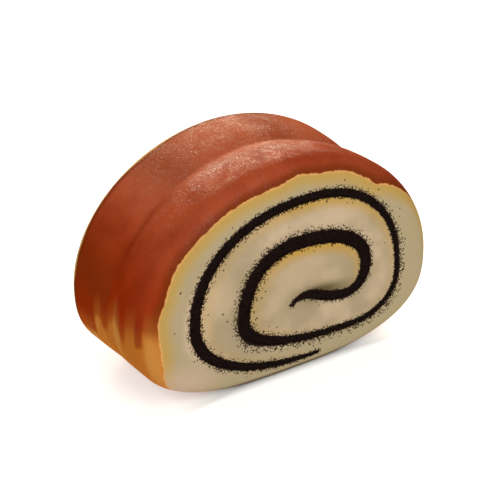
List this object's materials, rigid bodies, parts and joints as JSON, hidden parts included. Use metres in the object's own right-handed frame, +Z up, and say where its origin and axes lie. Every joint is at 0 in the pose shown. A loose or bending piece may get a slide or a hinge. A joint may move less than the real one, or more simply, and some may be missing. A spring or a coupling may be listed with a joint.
{
  "type": "poppy seed bun",
  "caption": "Thick slice of a rolled yeast bun: glossy brown two-lobed crust, flat base and cream crumb with a dark spiral of poppy seed filling at both cuts.",
  "frame": {"origin": "centre of the flat base, under the middle of the bounding box", "axes": "+X across the section, towards the side where the ribbon of filling is thinnest; +Y from the front cut to the back cut; +Z up to the top of the dome"},
  "size_m": [0.1099, 0.0502, 0.0735],
  "materials": {
    "dough": "baked yeast dough: satin egg-washed brown crust outside, matt cream crumb at the cuts",
    "filling": "matt, moist near-black poppy seed paste with visible seeds"
  },
  "bodies": {
    "root": {"dough": "dough", "filling": "filling"}
  },
  "joints": []
}
